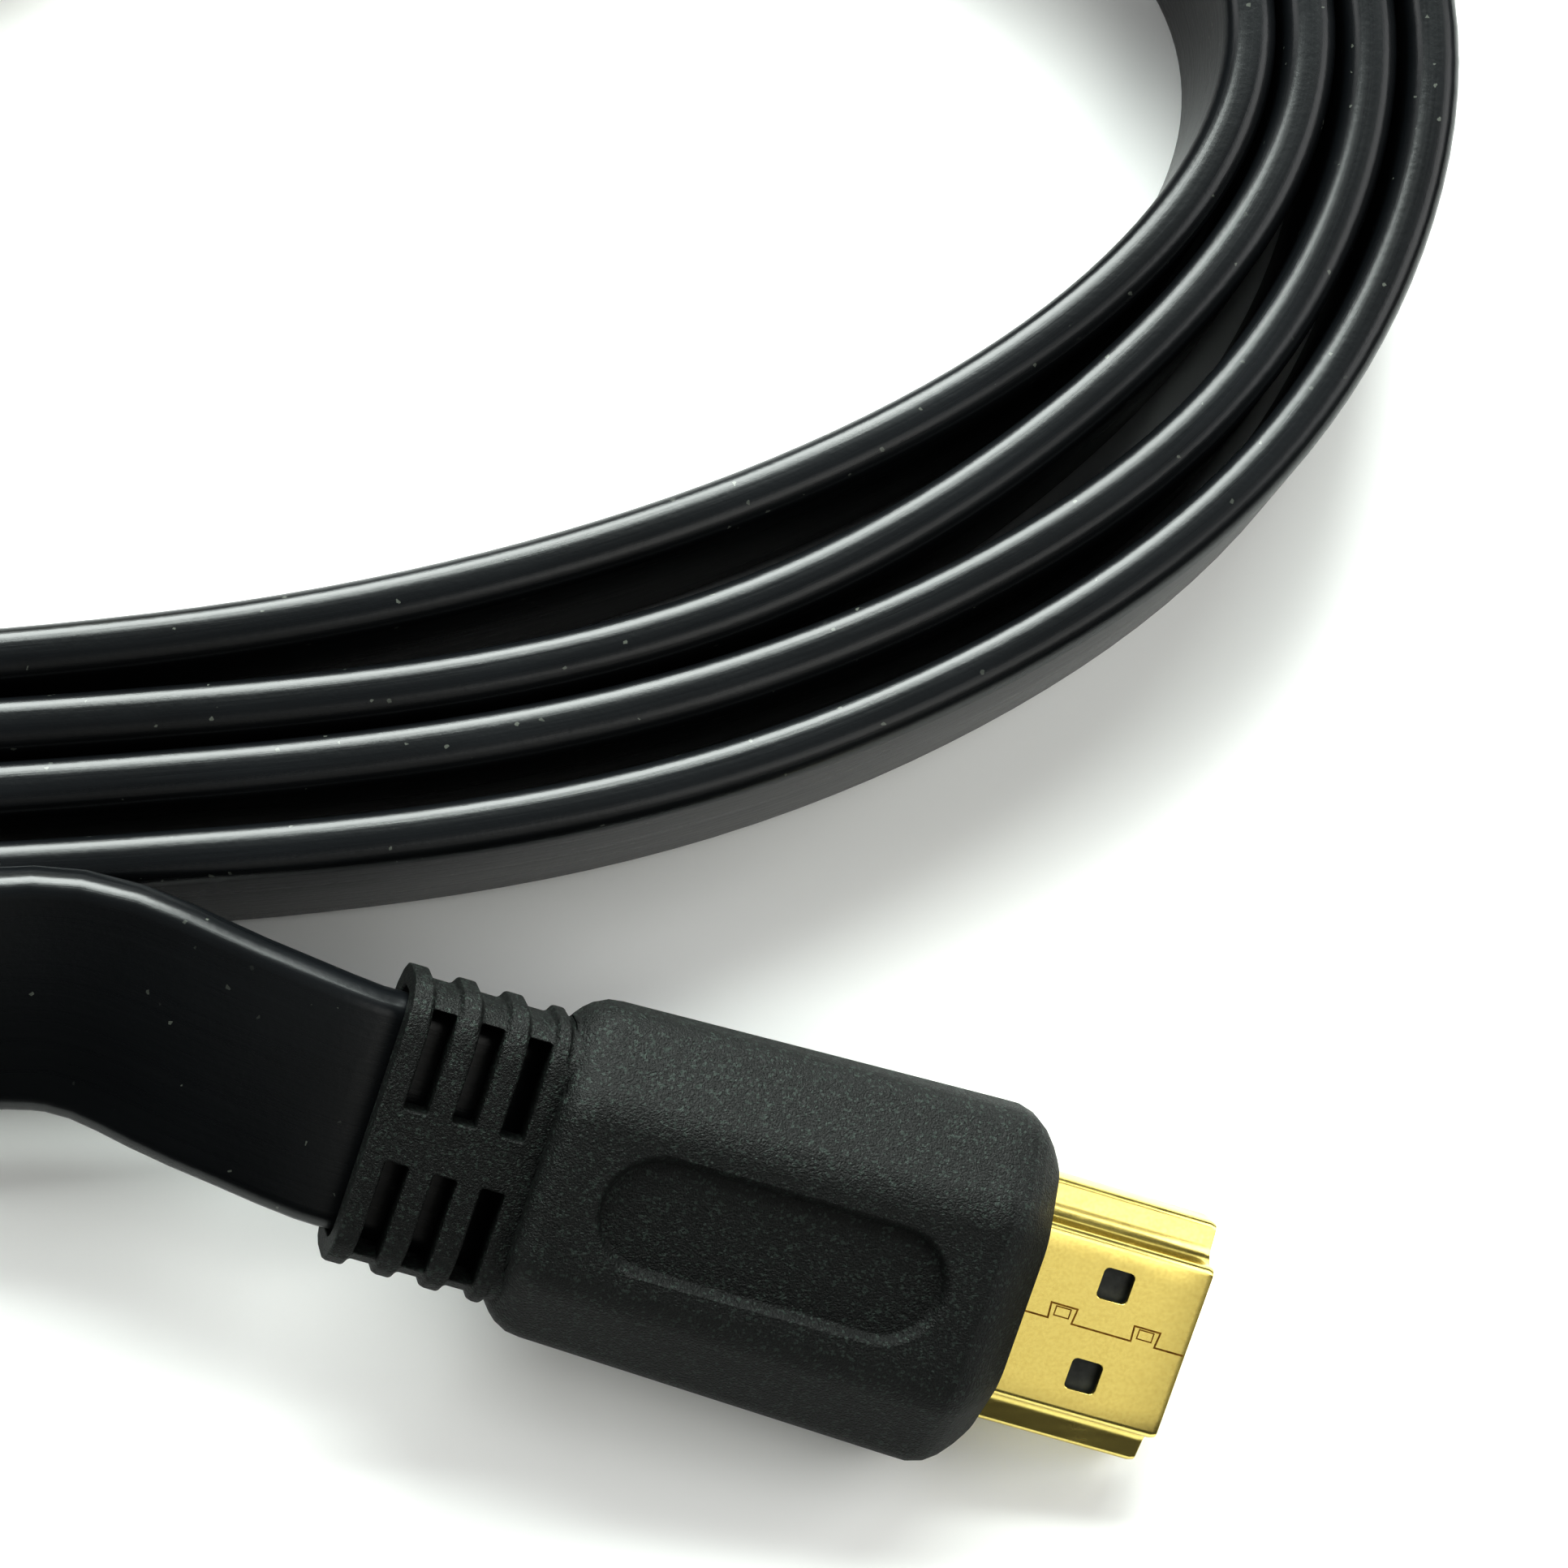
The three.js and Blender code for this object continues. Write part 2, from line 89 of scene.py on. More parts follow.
class GripSettings(bpy.types.PropertyGroup):
    length: length("Length", "Length of the grip without its strain relief", 27.5)
    width_front: length("Front width", "Width of the grip at the shell", 20.3)
    width_back: length("Back width", "Width of the grip at the strain relief", 18.2)
    height: length("Height", "Thickness of the grip", 11.0)
    flat_width: length("Flat width", "Width of the flat top between the sloped flanks", 10.8)
    side_height: length("Side height", "Height of the upright sides", 3.4)
    chamfer: length("End chamfer", "Sloped edge at the front of the grip", 2.0)
    front_round: length("Front corners", "Reach of the round corners beside the shell", 3.2)
    top_round: length("Top rounding", "Rounding between the top and the flanks", 1.1)
    side_round: length("Side rounding", "Rounding between the flanks and the sides", 1.0)
    rim_round: length("Rim rounding", "Rounding of the recess's rim", 0.2)
    recess_length: length("Recess length", "Length of the bare recess in the top", 19.2)
    recess_width: length("Recess width", "Width of the bare recess in the top", 6.5)
    recess_depth: length("Recess depth", "Depth of the bare recess in the top", 0.5)
    recess_from_front: length("Recess place", "From the grip's front to the recess's middle", 14.6)
    colour: colour("Vinyl", "Colour of the moulded vinyl", "#0c0e0d")


class ReliefSettings(bpy.types.PropertyGroup):
    length: length("Length", "Length of the strain relief grid", 8.8)
    width: length("Width", "Width of the grid between its ribs", 14.9)
    height: length("Height", "Thickness of the grid", 7.4)
    corner: length("Corner", "Radius of the grid's rounded sides", 2.5)
    rib: length("Rib", "Thickness of a cross rib", 1.1)
    slot: length("Slot", "Width of a slot between two ribs", 1.5)
    slots: IntProperty(name="Slots", description="Slots in each row", default=3, min=1, max=8)
    spine: length("Spine", "Width of the middle rib", 2.9)
    rib_proud: length("Rib proud", "How far the ribs stand out at the sides", 0.45)
    pocket_gap: length("Pocket gap", "Room round the ribbon inside the grid", 0.3)


class ShellSettings(bpy.types.PropertyGroup):
    width: length("Width", "Width of the metal shell", 13.9)
    height: length("Height", "Thickness of the metal shell", 4.45)
    wall: length("Wall", "Thickness of the sheet metal", 0.32)
    narrow_width: length("Narrow width", "Width of the shell's narrow face", 9.9)
    side_height: length("Side height", "Height of the shell's upright sides", 2.25)
    ledge_rise: length("Ledge rise", "Rise of the ledge beside the narrow face", 0.45)
    ledge_width: length("Ledge width", "Width of the ledge beside the narrow face", 1.35)
    proud: length("Proud", "Length of the shell outside the grip", 9.6)
    buried: length("Buried", "Length of the shell inside the grip", 4.0)
    window: length("Window", "Side of a latch window", 1.75)
    window_offset: length("Window offset", "From the middle to a window's middle", 2.6)
    window_from_tip: length("Window place", "From the tip to a window's middle", 5.0)
    seam: length("Seam", "Width of the folded seam's gap", 0.1)
    colour: colour("Gold plating", "Colour of the plated shell", "#dccb82")


class StageSettings(bpy.types.PropertyGroup):
    floor: colour("Floor", "Colour of the plain floor", "#f6f7f6")
    window: FloatProperty(name="Window", description="Power of the soft light behind", default=10.0, min=0)
    strip: FloatProperty(name="Strip", description="Power of the narrow bright strip behind", default=3.0, min=0)
    front: FloatProperty(name="Front card", description="Power of the weak light in front", default=0.2, min=0)
    face: FloatProperty(name="Face card", description="Power of the card that the shell mirrors", default=0.12, min=0)
    ledge: FloatProperty(name="Ledge card", description="Power of the card that its ledge mirrors", default=0.5, min=0)
    sides: FloatProperty(name="Side cards", description="Power of each soft light at the sides", default=1.8, min=0)
    ceiling: FloatProperty(name="Ceiling", description="Power of the wide light above", default=0.4, min=0)
    surround: FloatProperty(name="Surround", description="Strength of the room's own light", default=0.08, min=0)


class CableSettings(bpy.types.PropertyGroup):
    ribbon: PointerProperty(type=RibbonSettings, name="Ribbon", description="The flat cable")
    grip: PointerProperty(type=GripSettings, name="Grip", description="The moulded plug body")
    relief: PointerProperty(type=ReliefSettings, name="Strain relief", description="The grid behind the grip")
    shell: PointerProperty(type=ShellSettings, name="Shell", description="The plated metal shell")
    stage: PointerProperty(type=StageSettings, name="Stage", description="Floor, lights and camera")


def settings():
    return bpy.context.scene.flat_cable


# The part's routes and the camera are set from one point on the floor; the near plug's tip stands
# here from it, in millimetres
NEAR_TIP = (20.6, -31.42)

# Coil, as in the part: an oval wound clockwise and inwards, in millimetres from that point
COIL_CENTRE = (-39.6, 33.5)
COIL_TURNED = 0.159
OVAL_REACH_RIGHT = 64.9
OVAL_REACH_LEFT = 84.0
OVAL_HALF_WIDTH = 29.8
COIL_START = 230
COIL_SWEEP = 1420
STEPS_PER_TURN = 180
PITCH_TIGHT = 3.42
PITCH_SLACK = 1.6
SLACK_FACES = 130
RAMP_SHARE = 0.57
# Places where a turn stands off the next one: extra spacing, direction and spread
BULGES = ((2.1, -64, 23), (1.65, -37, 19), (1.1, -70, 47))

# Route of the ribbon from the coil to the near plug: x, y, z and lean of its upper edge in degrees
NEAR_ROUTE = (
    (-76.0, -13.5, 7.1, 8),
    (-64.0, -15.4, 8.7, 28),
    (-52.0, -15.8, 11.0, 47),
    (-39.1, -14.9, 12.5, 61),
    (-31.2, -17.9, 12.5, 65),
)
# Route from the coil's inner end to the far plug
FAR_ROUTE = (
    (-78.0, 1.2, 6.5, 0),
    (-92.0, 3.8, 6.6, 0),
    (-103.5, 10.8, 6.8, 0),
    (-109.0, 21.5, 7.0, 0),
    (-107.0, 33.0, 7.2, 0),
    (-99.0, 41.0, 7.5, 0),
)
NEAR_ROLL = 0.385

# Place of the contact rows in a plug's own frame, in millimetres: +X out of the tip, +Z to the
# narrow face
CONTACT_MIDDLE_X = -5.2
CONTACT_LOWER_Z = -1.17


def smooth(t):
    c = min(1.0, max(0.0, t))
    return c * c * (3 - 2 * c)


# Frames of the two plugs


def middle_of(node):
    low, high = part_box(node)
    return (Vector(low) + Vector(high)) / 2


def plug_frame(prefix):
    """A plug's own frame, read from its rows of contacts."""
    first = middle_of(f"{prefix}_contact_lower_1")
    last = middle_of(f"{prefix}_contact_lower_10")
    lower = (first + last) / 2
    upper = (middle_of(f"{prefix}_contact_upper_1") + middle_of(f"{prefix}_contact_upper_9")) / 2
    across = (last - first).normalized()
    normal = (upper - lower).normalized()
    forward = across.cross(normal)
    tip = lower - forward * CONTACT_MIDDLE_X * MM - normal * CONTACT_LOWER_Z * MM
    matrix = Matrix((forward, across, normal)).transposed().to_4x4()
    matrix.translation = tip
    return matrix


def route_origin():
    """The point on the floor that the routes and the camera are set from."""
    tip = plug_frame("near").translation
    return Vector((tip.x - NEAR_TIP[0] * MM, tip.y - NEAR_TIP[1] * MM, 0))


# Materials


def add_node(tree, kind, settings=None, links=None):
    """Adds a node, sets its properties and sockets, and links sockets to other nodes' outputs."""
    node = tree.nodes.new(kind)
    for name, value in (settings or {}).items():
        if isinstance(name, str) and hasattr(node, name) and name not in node.inputs:
            setattr(node, name, value)
        else:
            node.inputs[name].default_value = value
    for name, output in (links or {}).items():
        tree.links.new(output, node.inputs[name])
    return node


def start_material(name):
    material = bpy.data.materials.new(name)
    material.use_nodes = True
    tree = material.node_tree
    tree.nodes.clear()
    return material, tree


def end_material(tree, shader):
    out = add_node(tree, "ShaderNodeOutputMaterial")
    tree.links.new(shader.outputs[0], out.inputs["Surface"])


def ramp(tree, source, stops):
    """A colour ramp with the given places and colours, fed by a node's output."""
    node = add_node(tree, "ShaderNodeValToRGB", links={"Fac": source})
    elements = node.color_ramp.elements
    while len(elements) < len(stops):
        elements.new(0.5)
    for element, (place, value) in zip(elements, stops):
        element.position = place
        element.color = value
    return node


def sparse_cells(tree, where, scale, share):
    """Picks that share of small scattered cells: 1 in a picked cell, 0 in the others."""
    cells = add_node(tree, "ShaderNodeTexVoronoi", {"Scale": scale}, {"Vector": where})
    single = add_node(tree, "ShaderNodeSeparateColor", links={"Color": cells.outputs["Color"]})
    return add_node(tree, "ShaderNodeMapRange", {"From Min": 1 - share, "From Max": 1 - share * 0.6},
                    {"Value": single.outputs["Red"]})


def mixed(tree, factor, first, second):
    """A colour between two: the first is a node's output, the second a fixed colour."""
    node = add_node(tree, "ShaderNodeMix", {"data_type": "RGBA"}, {"Factor": factor})
    tree.links.new(first, node.inputs[6])
    node.inputs[7].default_value = second
    return node.outputs[2]


def extruded_vinyl():
    """Extruded vinyl: black, half glossy, with fine lengthwise streaks from the die and a little dust."""
    material, tree = start_material("extruded_vinyl")
    black = tuple(settings().ribbon.colour)
    grey = tuple(min(1, c * 1.7 + 0.001) for c in black[:3]) + (1,)
    uv = add_node(tree, "ShaderNodeUVMap", {"uv_map": "along_ribbon"})
    stretch = add_node(tree, "ShaderNodeMapping", {"Scale": (1.0, 0.015, 1.0)}, {"Vector": uv.outputs[0]})
    streaks = add_node(tree, "ShaderNodeTexNoise", {"Scale": 2400.0, "Detail": 4.0, "Roughness": 0.65},
                       {"Vector": stretch.outputs[0]})
    where = add_node(tree, "ShaderNodeTexCoord").outputs["Object"]
    peel = add_node(tree, "ShaderNodeTexNoise", {"Scale": 2200.0, "Detail": 3.0, "Roughness": 0.6}, {"Vector": where})
    cloud = add_node(tree, "ShaderNodeTexNoise", {"Scale": 60.0, "Detail": 4.0}, {"Vector": where})
    tint = ramp(tree, cloud.outputs["Fac"], ((0.35, black), (0.75, grey)))
    dust = sparse_cells(tree, where, 5200.0, 0.003)
    dusty = mixed(tree, dust.outputs[0], tint.outputs[0], linear("#4c4f4a"))
    rough = add_node(tree, "ShaderNodeMapRange", {"To Min": 0.2, "To Max": 0.38},
                     {"Value": streaks.outputs["Fac"]})
    fine = add_node(tree, "ShaderNodeBump", {"Strength": 0.3, "Distance": 0.00004},
                    {"Height": streaks.outputs["Fac"]})
    bump = add_node(tree, "ShaderNodeBump", {"Strength": 0.25, "Distance": 0.00004},
                    {"Height": peel.outputs["Fac"], "Normal": fine.outputs[0]})
    shader = add_node(tree, "ShaderNodeBsdfPrincipled", {"IOR": 1.5, "Specular IOR Level": 0.4},
                      {"Base Color": dusty, "Roughness": rough.outputs[0], "Normal": bump.outputs[0]})
    end_material(tree, shader)
    return material


def eroded_vinyl():
    """Moulded vinyl from a spark-eroded tool: black, matt, with a fine grain and painted glints on it."""
    material, tree = start_material("eroded_vinyl")
    black = tuple(settings().grip.colour)
    grey = tuple(min(1, c * 1.8 + 0.002) for c in black[:3]) + (1,)
    where = add_node(tree, "ShaderNodeTexCoord").outputs["Object"]
    grain = add_node(tree, "ShaderNodeTexNoise", {"Scale": 8000.0, "Detail": 2.0, "Roughness": 0.7},
                     {"Vector": where})
    hollows = add_node(tree, "ShaderNodeTexNoise", {"Scale": 3800.0, "Detail": 2.0}, {"Vector": where})
    tint = ramp(tree, grain.outputs["Fac"], ((0.4, black), (0.66, grey)))
    # Painted glints: about a sixth of the tiny cells painted a lighter grey-green, standing in for sparkles of light on
    # the grain
    painted_glints = sparse_cells(tree, where, 7000.0, 0.16)
    grain_with_painted_glints = mixed(tree, painted_glints.outputs[0], tint.outputs[0], linear("#29312d"))
    rough = add_node(tree, "ShaderNodeMapRange", {"To Min": 0.38, "To Max": 0.66}, {"Value": grain.outputs["Fac"]})
    coarse = add_node(tree, "ShaderNodeBump", {"Strength": 0.4, "Distance": 0.00005},
                      {"Height": hollows.outputs["Fac"]})
    bump = add_node(tree, "ShaderNodeBump", {"Strength": 1.0, "Distance": 0.00012},
                    {"Height": grain.outputs["Fac"], "Normal": coarse.outputs[0]})
    shader = add_node(tree, "ShaderNodeBsdfPrincipled", {"IOR": 1.5, "Specular IOR Level": 0.33},
                      {"Base Color": grain_with_painted_glints, "Roughness": rough.outputs[0], "Normal": bump.outputs[0]})
    end_material(tree, shader)
    return material


def gold_plating(name, code, roughness):
    """Thin gold plating on stamped steel: bright, warm, with faint rolling lines under it."""
    material, tree = start_material(name)
    where = add_node(tree, "ShaderNodeTexCoord")
    stretch = add_node(tree, "ShaderNodeMapping", {"Scale": (0.12, 1.0, 1.0)}, {"Vector": where.outputs["Object"]})
    lines = add_node(tree, "ShaderNodeTexNoise", {"Scale": 2600.0, "Detail": 2.0}, {"Vector": stretch.outputs[0]})
    cloud = add_node(tree, "ShaderNodeTexNoise", {"Scale": 5200.0, "Detail": 3.0}, {"Vector": where.outputs["Object"]})
    bright = tuple(code)
    deep = (bright[0] * 0.93, bright[1] * 0.91, bright[2] * 0.86, 1)
    tint = ramp(tree, cloud.outputs["Fac"], ((0.3, deep), (0.6, bright)))
    rough = add_node(tree, "ShaderNodeMapRange", {"To Min": roughness - 0.05, "To Max": roughness + 0.09},
                     {"Value": lines.outputs["Fac"]})
    bump = add_node(tree, "ShaderNodeBump", {"Strength": 0.1, "Distance": 0.00001}, {"Height": cloud.outputs["Fac"]})
    shader = add_node(tree, "ShaderNodeBsdfPrincipled", {"Metallic": 1.0},
                      {"Base Color": tint.outputs[0], "Roughness": rough.outputs[0], "Normal": bump.outputs[0]})
    end_material(tree, shader)
    return material


def dark_resin():
    """Moulded glass-filled resin of the insulator: dark grey and matt."""
    material, tree = start_material("dark_resin")
    where = add_node(tree, "ShaderNodeTexCoord")
    fibres = add_node(tree, "ShaderNodeTexNoise", {"Scale": 1800.0, "Detail": 3.0}, {"Vector": where.outputs["Object"]})
    tint = ramp(tree, fibres.outputs["Fac"], ((0.3, linear("#26292a")), (0.7, linear("#3c403f"))))
    bump = add_node(tree, "ShaderNodeBump", {"Strength": 0.2, "Distance": 0.00004}, {"Height": fibres.outputs["Fac"]})
    shader = add_node(tree, "ShaderNodeBsdfPrincipled", {"Roughness": 0.5, "IOR": 1.55},
                      {"Base Color": tint.outputs[0], "Normal": bump.outputs[0]})
    end_material(tree, shader)
    return material


def shaded_fold():
    """Inside of the folded seam and of the stamped marks: the same metal darkened as painted shade, mottled at random,
    with a dull polish.
    """
    material, tree = start_material("shaded_fold")
    where = add_node(tree, "ShaderNodeTexCoord").outputs["Object"]
    # Painted shade: two dark browns mixed by a random mottle
    shade_mottle = add_node(tree, "ShaderNodeTexNoise", {"Scale": 2500.0, "Detail": 2.0}, {"Vector": where})
    tint = ramp(tree, shade_mottle.outputs["Fac"], ((0.3, linear("#5a3c12")), (0.7, linear("#8c6a2c"))))
    shader = add_node(tree, "ShaderNodeBsdfPrincipled", {"Roughness": 0.45, "Metallic": 0.8},
                      {"Base Color": tint.outputs[0]})
    end_material(tree, shader)
    return material


def once(name, make, *args):
    """The material of that name, made the first time it is asked for."""
    found = bpy.data.materials.get(name)
    return found if found else make(*args)


# Pieces


def to_piece(name, mesh, material, matrix=None):
    """Makes a bmesh the finished piece of that name, placed in its mesh, and lets it ride."""
    if matrix is not None:
        bmesh.ops.transform(mesh, matrix=matrix, verts=mesh.verts)
    data = bpy.data.meshes.new(name)
    mesh.to_mesh(data)
    mesh.free()
    piece = bpy.data.objects.new(name, data)
    bpy.context.scene.collection.objects.link(piece)
    piece.data.materials.append(material)
    for face in piece.data.polygons:
        face.use_smooth = True
    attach(piece, BODY)
    return piece


def round_corners(mesh, corners, offset, segments):
    return bmesh.ops.bevel(
        mesh, geom=list(corners), offset=offset, offset_type="OFFSET", segments=segments, profile=0.5,
        affect="VERTICES", clamp_overlap=True, material=-1)


# The ribbon's line


def oval_point(angle, offset):
    c, s = math.cos(angle), math.sin(angle)
    reach = OVAL_REACH_RIGHT if c > 0 else OVAL_REACH_LEFT
    outwards = Vector((OVAL_HALF_WIDTH * c, reach * s, 0)).normalized()
    point = Vector((reach * c, OVAL_HALF_WIDTH * s, 0)) + outwards * offset
    return Matrix.Rotation(COIL_TURNED, 3, "Z") @ point + Vector((*COIL_CENTRE, 0))


def pitch_at(turn, angle):
    facing = math.cos(angle - math.radians(SLACK_FACES))
    pitch = PITCH_TIGHT + PITCH_SLACK * smooth((facing + 0.2) / 0.6)
    if turn < len(BULGES):
        extra, towards, spread = BULGES[turn]
        away = math.remainder(angle - math.radians(towards), 2 * math.pi)
        pitch += extra * math.exp(-((away / math.radians(spread)) ** 2))
    return pitch


def offset_of_turn(turn, angle):
    return sum(pitch_at(inner, angle) for inner in range(turn))


def coil_point(swept, width, origin):
    angle = math.radians(COIL_START - swept)
    turn = 3 - int(swept // 360)
    inner = offset_of_turn(turn, angle)
    outer = offset_of_turn(turn + 1, angle)
    share = (swept % 360) / 360
    offset = inner + (outer - inner) * (1 - smooth(share / RAMP_SHARE))
    return (oval_point(angle, offset) + UP * width / 2 / MM) * MM + origin


def curve_between(points, leans, step):
    """Points and leans at even steps on the centripetal curve through the given points."""
    before = points[0] * 2 - points[1]
    after = points[-1] * 2 - points[-2]
    stops = [before, *points, after]
    line, lean_at = [], []
    for i in range(len(points) - 1):
        a, b, c, d = stops[i:i + 4]
        t0 = 0.0
        t1 = t0 + (b - a).length ** 0.5
        t2 = t1 + (c - b).length ** 0.5
        t3 = t2 + (d - c).length ** 0.5
        count = max(2, round((c - b).length / step))
        for k in range(count):
            t = t1 + (t2 - t1) * k / count
            ab = a.lerp(b, (t - t0) / (t1 - t0))
            bc = b.lerp(c, (t - t1) / (t2 - t1))
            cd = c.lerp(d, (t - t2) / (t3 - t2))
            abc = ab.lerp(bc, (t - t0) / (t2 - t0))
            bcd = bc.lerp(cd, (t - t1) / (t3 - t1))
            line.append(abc.lerp(bcd, (t - t1) / (t2 - t1)))
            lean_at.append(leans[i] + (leans[i + 1] - leans[i]) * smooth(k / count))
    line.append(points[-1])
    lean_at.append(leans[-1])
    return line, lean_at


def route_points(route, origin):
    points = [Vector(p[:3]) * MM + origin for p in route]
    leans = [-math.radians(p[3]) for p in route]
    return points, leans


def plug_mouth(matrix):
    """Where the ribbon leaves a plug, where it ends inside it and a point just outside."""
    s = settings()
    back = -(s.shell.proud + s.grip.length + s.relief.length)
    places = (back, back + s.relief.length - 0.3 * MM, back - 1.5 * MM)
    return [matrix @ Vector((x, 0, 0)) for x in places]


def ribbon_line():
    """The whole centreline from inside the near plug to inside the far plug, with its leans."""
    s = settings().ribbon
    near, far = plug_frame("near"), plug_frame("far")
    origin = route_origin()
    mouth, inside, outside = plug_mouth(near)
    points, leans = route_points(NEAR_ROUTE[::-1], origin)
    near_lean = NEAR_ROLL - math.pi / 2
    start = coil_point(0, s.width, origin)
    line, lean = curve_between(
        [inside, mouth, outside, *points, start], [near_lean] * 3 + leans + [0], s.step)
    count = round(COIL_SWEEP / 360 * STEPS_PER_TURN)
    coil = [coil_point(COIL_SWEEP * i / count, s.width, origin) for i in range(1, count)]
    line += coil
    lean += [0] * len(coil)
    points, leans = route_points(FAR_ROUTE, origin)
    mouth, inside, outside = plug_mouth(far)
    end, end_lean = curve_between(
        [coil_point(COIL_SWEEP, s.width, origin), *points, outside, mouth, inside], [0] + leans + [0] * 3, s.step)
    return line + end, lean + end_lean, plug_mouth(near)[0]


def section_frames(line, lean):
    """A matrix for each point: X through the thickness, Y along the width, Z along the ribbon."""
    frames = []
    for i, point in enumerate(line):
        along = (line[min(i + 1, len(line) - 1)] - line[max(i - 1, 0)]).normalized()
        upright = (UP - along * UP.dot(along)).normalized()
        side = along.cross(upright)
        sign = -1 if i < len(line) / 2 else 1
        across = upright * math.cos(lean[i]) + side * math.sin(lean[i]) * sign
        matrix = Matrix((across.cross(along), across, along)).transposed().to_4x4()
        matrix.translation = point
        frames.append(matrix)
    return frames


def ribbon_mesh(line, lean):
    """Sweeps the rounded section along the line and lays a map in metres on it."""
    s = settings().ribbon
    mesh = bmesh.new()
    uv = mesh.loops.layers.uv.new("along_ribbon")
    frames = section_frames(line, lean)
    x, y = s.thickness / 2, s.width / 2
    corners = [mesh.verts.new(p) for p in ((x, -y, 0), (x, y, 0), (-x, y, 0), (-x, -y, 0))]
    mesh.faces.new(corners)
    round_corners(mesh, mesh.verts, s.corner, 5)
    mesh.faces.ensure_lookup_table()
    outline = [v.co.copy() for v in mesh.faces[0].verts]
    bmesh.ops.transform(mesh, matrix=frames[0], verts=mesh.verts)
    ring = [e for e in mesh.faces[0].edges]
    travelled = 0.0
    around = [0.0]
    for a, b in zip(outline, outline[1:] + outline[:1]):
        around.append(around[-1] + (b - a).length)
    last_ring = list(mesh.faces[0].verts)
    rings = [(last_ring, 0.0)]
    for before, now in zip(frames, frames[1:]):
        ring, verts = draw_on(mesh, ring)
        bmesh.ops.transform(mesh, matrix=now @ before.inverted(), verts=verts)
        travelled += (now.translation - before.translation).length
        rings.append((verts, travelled))
    bmesh.ops.contextual_create(mesh, geom=ring)
    distance = {}
    for verts, along in rings:
        for v in verts:
            distance[v] = along
    inverse = {}
    for (verts, _), matrix in zip(rings, frames):
        turned = matrix.inverted()
        for v in verts:
            flat = turned @ v.co
            nearest = min(range(len(outline)), key=lambda k: (outline[k] - flat).length_squared)
            inverse[v] = nearest
    for face in mesh.faces:
        places = [inverse[loop.vert] for loop in face.loops]
        wraps = len(face.loops) == 4 and max(places) - min(places) > len(outline) / 2
        for loop, place in zip(face.loops, places):
            across = around[-1] if wraps and place == 0 else around[place]
            loop[uv].uv = (across, distance[loop.vert])
    bmesh.ops.recalc_face_normals(mesh, faces=mesh.faces)
    return mesh


class CABLE_OT_ribbon(bpy.types.Operator):
    """Build the flat ribbon from plug to plug"""

    bl_idname = "cable.ribbon"
    bl_label = "Ribbon"

    def execute(self, context):
        line, lean, start = ribbon_line()
        mesh = ribbon_mesh(line, lean)
        piece = to_piece("ribbon", mesh, once("extruded_vinyl", extruded_vinyl))
        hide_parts("ribbon_coil", "ribbon_near_lead", "ribbon_far_lead")
        return {"FINISHED"}


def eased(distance, reach, depth, power):
    """How far a rounded end draws in, that far from it."""
    return depth * max(0.0, 1 - distance / reach) ** power


def grip_scale(x):
    """How much the grip's full section is drawn in at a place along it: sideways and upwards."""
    g = settings().grip
    front = -settings().shell.proud
    ahead, behind = front - x, x - (front - g.length)
    side = g.width_front / 2 + (g.width_back - g.width_front) / 2 * ahead / g.length
    side -= eased(ahead, g.front_round, g.front_round * 0.85, 2.2) + eased(behind, 2.4 * MM, 1.5 * MM, 2.4)
    top = g.height / 2
    top -= eased(ahead, g.chamfer * 1.35, g.chamfer * 1.1, 1.4) + eased(behind, 1.0 * MM, 0.9 * MM, 2.2)
    return side / (g.width_front / 2), top / (g.height / 2)


def grip_outline(mesh):
    """The grip's full section: an eight-sided face with its corners rounded."""
    g = settings().grip
    side, flat = g.width_front / 2, g.flat_width / 2
    high, low = g.height / 2, g.side_height / 2
    corners = ((side, -low), (side, low), (flat, high), (-flat, high),
               (-side, low), (-side, -low), (-flat, -high), (flat, -high))
    verts = [mesh.verts.new((0, y, z)) for y, z in corners]
    mesh.faces.new(verts)
    round_corners(mesh, [v for v in verts if abs(v.co.z) > g.height / 2 - 1e-6], g.top_round, 6)
    round_corners(mesh, [v for v in mesh.verts if abs(v.co.y) > side - 1e-6], g.side_round, 4)
    return mesh.faces[:][0]


def grip_mesh():
    """The grip as one block drawn section by section, with its small bevels marked on its edges."""
    g = settings().grip
    front = -settings().shell.proud
    back = front - g.length
    places = [front - d * MM for d in (0, 0.35, 0.8, 1.4, 2.1, 2.9, 3.9)]
    places += [back + d * MM for d in (2.5, 1.7, 1.0, 0.6, 0.3, 0.1, 0)]
    mesh = bmesh.new()
    width = mesh.edges.layers.float.new("bevel_weight_edge")
    first = grip_outline(mesh)
    wide, high = grip_scale(front)
    bmesh.ops.scale(mesh, verts=mesh.verts, vec=(1, wide, high))
    bmesh.ops.translate(mesh, verts=mesh.verts, vec=(front, 0, 0))
    ring = list(first.edges)
    ends = list(ring)
    for before, now in zip(places, places[1:]):
        ring, verts = draw_on(mesh, ring)
        old, new = grip_scale(before), grip_scale(now)
        bmesh.ops.scale(mesh, verts=verts, vec=(1, new[0] / old[0], new[1] / old[1]))
        bmesh.ops.translate(mesh, verts=verts, vec=(now - before, 0, 0))
    bmesh.ops.contextual_create(mesh, geom=ring)
    for edge in ends + ring:
        edge[width] = 1.0
    bmesh.ops.recalc_face_normals(mesh, faces=mesh.faces)
    top = max(mesh.faces, key=lambda f: f.normal.z * f.calc_area())
    carve_recess(mesh, top, width)
    return mesh


def draw_on(mesh, ring):
    """Extrudes a closed ring of edges once and gives the new ring and its corners."""
    made = bmesh.ops.extrude_edge_only(mesh, edges=ring)["geom"]
    verts = {g for g in made if isinstance(g, bmesh.types.BMVert)}
    edges = [g for g in made if isinstance(g, bmesh.types.BMEdge) and g.verts[0] in verts and g.verts[1] in verts]
    return edges, list(verts)


